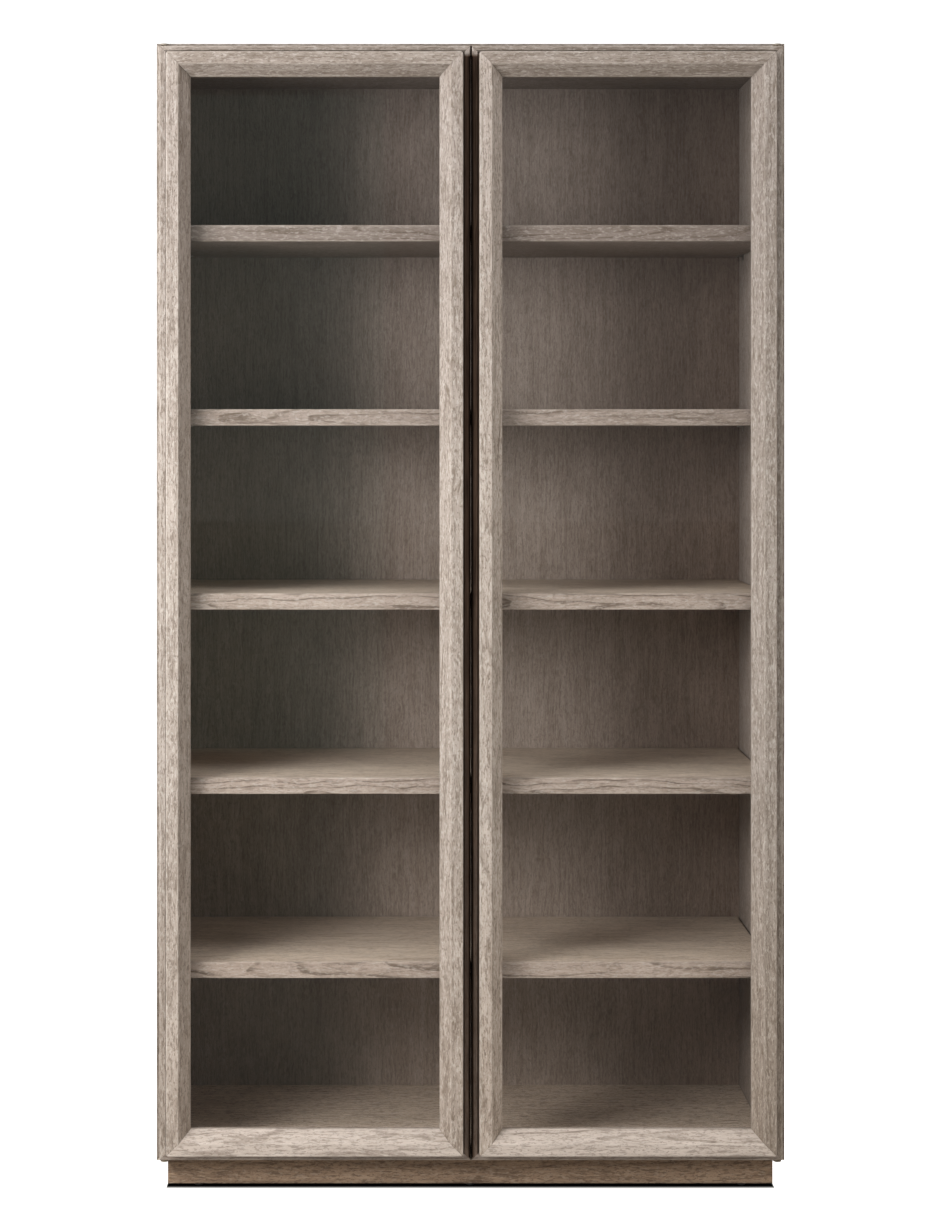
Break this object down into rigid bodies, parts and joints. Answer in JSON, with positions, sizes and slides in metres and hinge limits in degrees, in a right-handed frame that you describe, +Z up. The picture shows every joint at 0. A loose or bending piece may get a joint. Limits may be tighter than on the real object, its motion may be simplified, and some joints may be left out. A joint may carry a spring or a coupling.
{
  "type": "glazed bookcase with hinged doors",
  "caption": "Tall bookcase with glazed doors that swing on concealed pivots, full-width adjustable shelves and a recessed plinth.",
  "frame": {"origin": "centre of the footprint on the floor", "axes": "+Z up, doors face -Y, +X to the right seen from the front"},
  "size_m": [1.219, 0.457, 2.225],
  "materials": {
    "limed_oak": "weathered, limed, matt",
    "bare_timber": "unfinished",
    "clear_glass": "polished float glass",
    "bronzed_steel": "dark bronze",
    "plated_steel": "nickel plated",
    "magnet_steel": "satin",
    "bush_brass": "turned",
    "black_plastic": "moulded",
    "soft_rubber": "soft"
  },
  "bodies": {
    "carcass": {"back_panel": "limed_oak", "bottom_panel": "limed_oak", "bottom_pivot_brackets": "bronzed_steel", "carcass_mitre_splines": "bare_timber", "catch_housings": "black_plastic", "catch_magnets": "magnet_steel", "catch_screws": "plated_steel", "floor_glides": "black_plastic", "pivot_bracket_screws": "plated_steel", "pivot_pins": "bronzed_steel", "plinth_back": "limed_oak", "plinth_corner_blocks": "bare_timber", "plinth_cross_rail": "bare_timber", "plinth_front": "limed_oak", "plinth_screws": "plated_steel", "plinth_side_left": "limed_oak", "plinth_side_right": "limed_oak", "rear_bottom_rail": "bare_timber", "rear_top_rail": "bare_timber", "shelf_1": "limed_oak", "shelf_2": "limed_oak", "shelf_3": "limed_oak", "shelf_4": "limed_oak", "shelf_5": "limed_oak", "shelf_pins": "plated_steel", "side_panel_left": "limed_oak", "side_panel_right": "limed_oak", "top_panel": "limed_oak", "top_pivot_brackets": "bronzed_steel"},
    "left_door": {"left_door_bead_bottom": "limed_oak", "left_door_bead_hinge_side": "limed_oak", "left_door_bead_meeting_side": "limed_oak", "left_door_bead_top": "limed_oak", "left_door_bottom_rail": "limed_oak", "left_door_bumpers": "soft_rubber", "left_door_corner_splines": "bare_timber", "left_door_glass": "clear_glass", "left_door_hinge_stile": "limed_oak", "left_door_meeting_stile": "limed_oak", "left_door_pivot_bushes": "bush_brass", "left_door_screws": "plated_steel", "left_door_setting_blocks": "soft_rubber", "left_door_strike_plates": "plated_steel", "left_door_top_rail": "limed_oak"},
    "right_door": {"right_door_bead_bottom": "limed_oak", "right_door_bead_hinge_side": "limed_oak", "right_door_bead_meeting_side": "limed_oak", "right_door_bead_top": "limed_oak", "right_door_bottom_rail": "limed_oak", "right_door_bumpers": "soft_rubber", "right_door_corner_splines": "bare_timber", "right_door_glass": "clear_glass", "right_door_hinge_stile": "limed_oak", "right_door_meeting_stile": "limed_oak", "right_door_pivot_bushes": "bush_brass", "right_door_screws": "plated_steel", "right_door_setting_blocks": "soft_rubber", "right_door_strike_plates": "plated_steel", "right_door_top_rail": "limed_oak"}
  },
  "joints": [
    {"name": "left_door_hinge", "type": "hinge", "parent": "carcass", "child": "left_door", "pos_m": [-0.593, -0.1935, 1.141], "axis": [0, 0, -1], "range_deg": [0, 110]},
    {"name": "right_door_hinge", "type": "hinge", "parent": "carcass", "child": "right_door", "pos_m": [0.593, -0.1935, 1.141], "axis": [0, 0, 1], "range_deg": [0, 110]}
  ]
}
